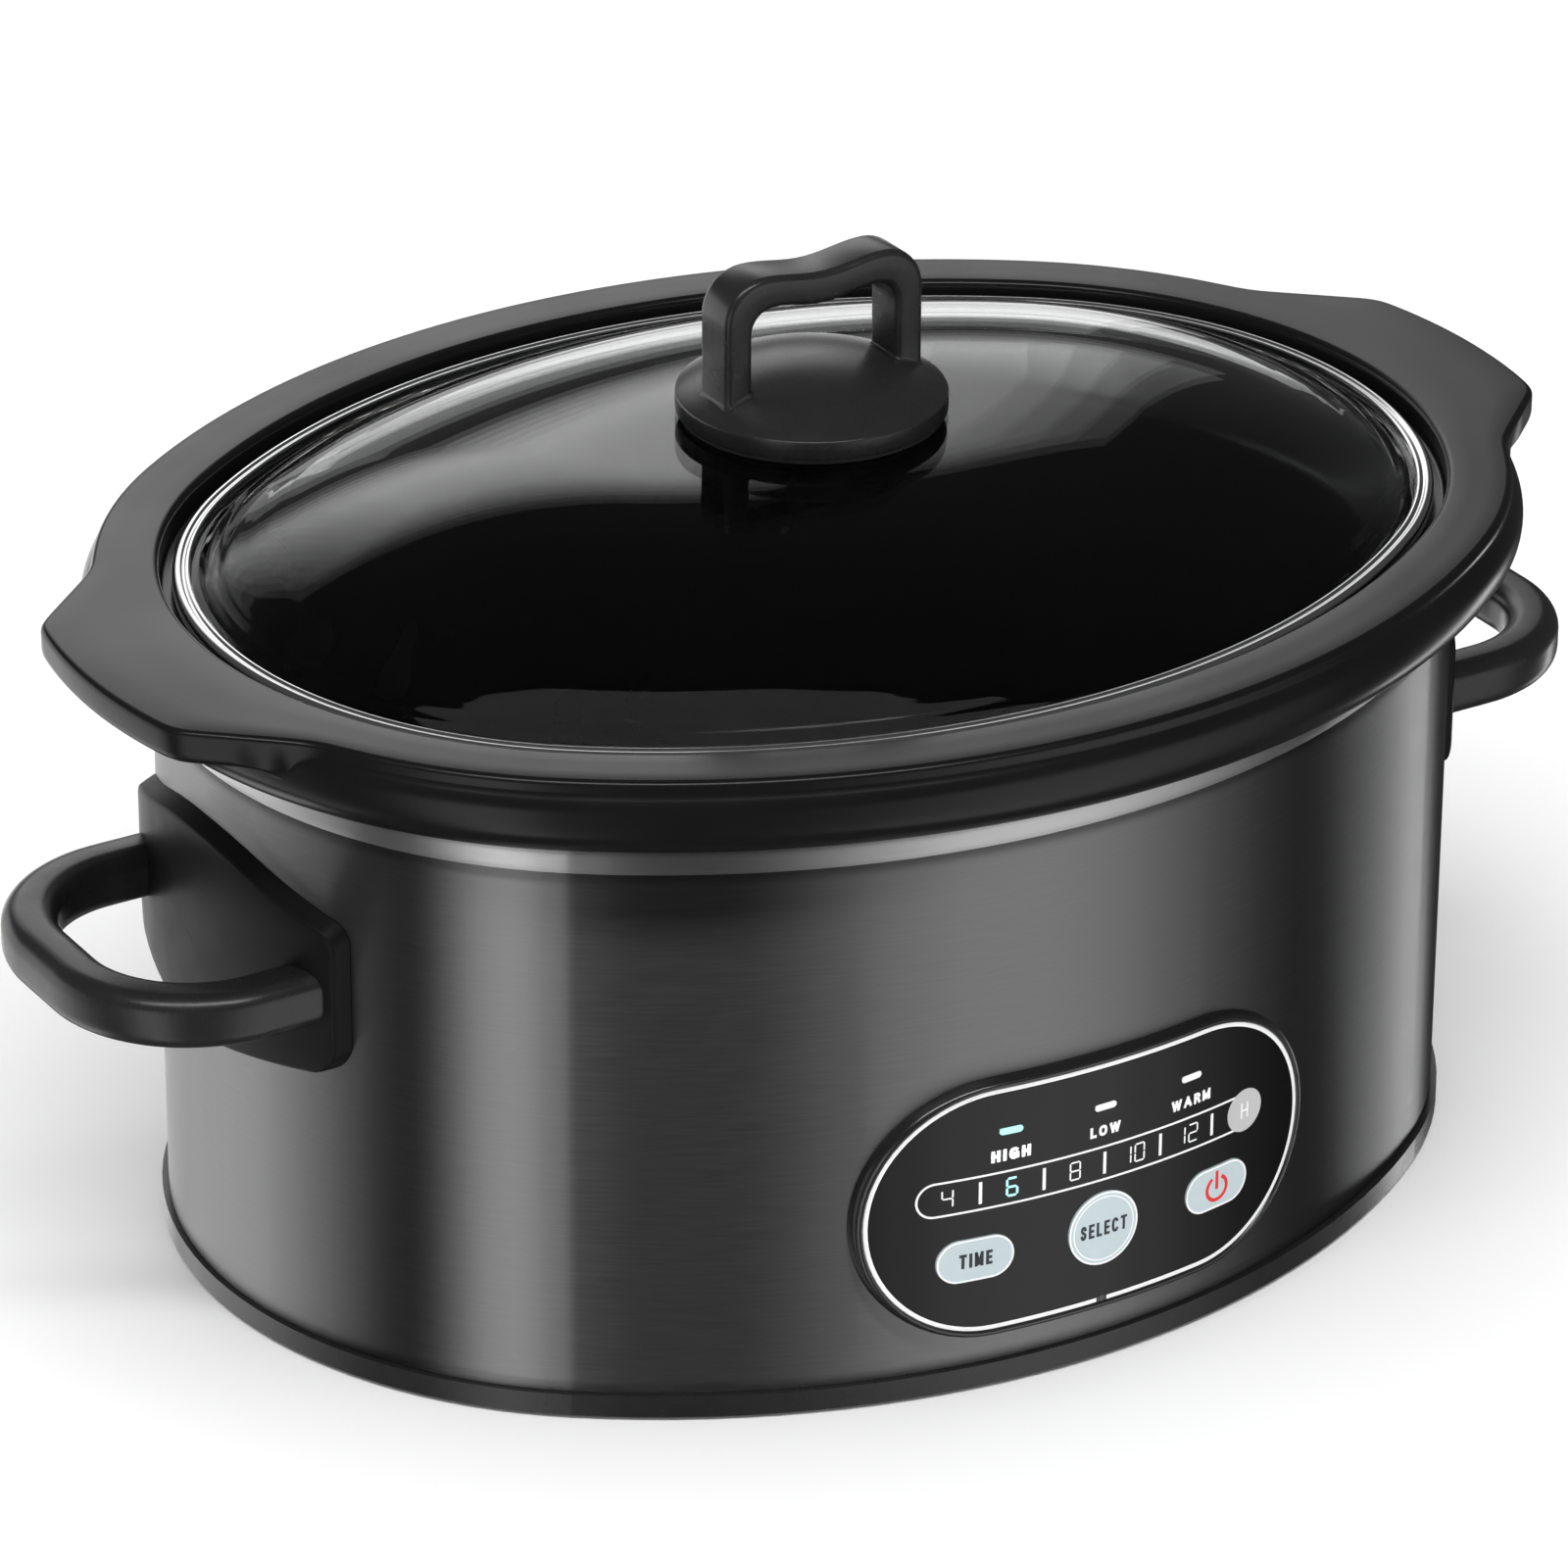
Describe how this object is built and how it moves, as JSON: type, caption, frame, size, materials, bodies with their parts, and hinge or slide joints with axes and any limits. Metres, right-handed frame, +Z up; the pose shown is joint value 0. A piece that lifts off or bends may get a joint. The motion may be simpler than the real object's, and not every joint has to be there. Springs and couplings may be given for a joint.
{
  "type": "slow cooker",
  "caption": "Oval slow cooker with steel wrap, side loop handles, lift-out stoneware crock, domed glass lid and a curved digital control panel.",
  "frame": {"origin": "on the table, under the middle of the whole object's box", "axes": "+X along the long axis, from handle to handle; +Z up; the control panel faces -Y"},
  "size_m": [0.436, 0.3018, 0.2433],
  "materials": {
    "dark_steel": "horizontal brushing, dark coated",
    "bare_steel": "fine brushed",
    "lid_steel": "bright rolled steel",
    "zinc_steel": "zinc plated",
    "well_aluminium": "drawn, satin",
    "heater_mica": "woven glass and mica",
    "fuse_ceramic": "unglazed ceramic",
    "black_plastic": "satin moulded",
    "bezel_plastic": "semi gloss moulded",
    "face_gloss": "high gloss",
    "light_bar": "diffusing",
    "key_grey": "satin, pale blue grey",
    "rubber": "matt",
    "board": "solder resist",
    "chip": "moulded epoxy",
    "led": "clear epoxy",
    "transformer_tape": "polyester tape over ferrite",
    "relay_blue": "moulded",
    "film_yellow": "moulded",
    "terminal_green": "moulded",
    "wire_white": "silicone sleeve",
    "wire_brown": "insulated wire",
    "ribbon_grey": "flat ribbon",
    "stoneware": "black glaze",
    "clear_glass": "clear tempered"
  },
  "bodies": {
    "housing": {"outer_shell": "dark_steel", "top_collar": "bare_steel", "base_tray": "black_plastic", "rubber_feet": "rubber", "standoffs": "zinc_steel", "base_screws": "zinc_steel", "heating_well": "well_aluminium", "heater_band": "heater_mica", "band_clamp": "zinc_steel", "thermal_fuse": "fuse_ceramic", "temperature_sensor": "zinc_steel", "handle_left": "black_plastic", "handle_right": "black_plastic", "handle_screws": "zinc_steel", "control_bezel": "bezel_plastic", "panel_face": "face_gloss", "light_bars": "light_bar", "control_board": "board", "board_screws": "zinc_steel", "tact_switches": "chip", "display_leds": "led", "control_chip": "chip", "power_board": "board", "power_board_screws": "zinc_steel", "transformer": "transformer_tape", "relay": "relay_blue", "capacitor": "film_yellow", "terminal_block": "terminal_green", "control_ribbon": "ribbon_grey", "heater_leads": "wire_white", "mains_leads": "wire_brown", "cord_gland": "black_plastic", "gland_nut": "black_plastic"},
    "time_key": {"key_time": "key_grey"},
    "select_key": {"key_select": "key_grey"},
    "power_key": {"key_power": "key_grey"},
    "crock": {"crock": "stoneware"},
    "lid": {"lid_glass": "clear_glass", "lid_rim": "lid_steel", "lid_handle": "black_plastic", "lid_seal": "rubber", "lid_screw": "zinc_steel"}
  },
  "joints": [
    {"name": "time_key_press", "type": "slide", "parent": "housing", "child": "time_key", "axis": [0, 1, 0], "range_m": [0, 0.0008], "stiffness_N_per_m": 600},
    {"name": "select_key_press", "type": "slide", "parent": "housing", "child": "select_key", "axis": [0, 1, 0], "range_m": [0, 0.0008], "stiffness_N_per_m": 600},
    {"name": "power_key_press", "type": "slide", "parent": "housing", "child": "power_key", "axis": [0, 1, 0], "range_m": [0, 0.0008], "stiffness_N_per_m": 600},
    {"name": "crock_lift", "type": "slide", "parent": "housing", "child": "crock", "axis": [0, 0, 1], "range_m": [0, 0.16]},
    {"name": "lid_lift", "type": "slide", "parent": "crock", "child": "lid", "axis": [0, 0, 1], "range_m": [0, 0.1]}
  ]
}
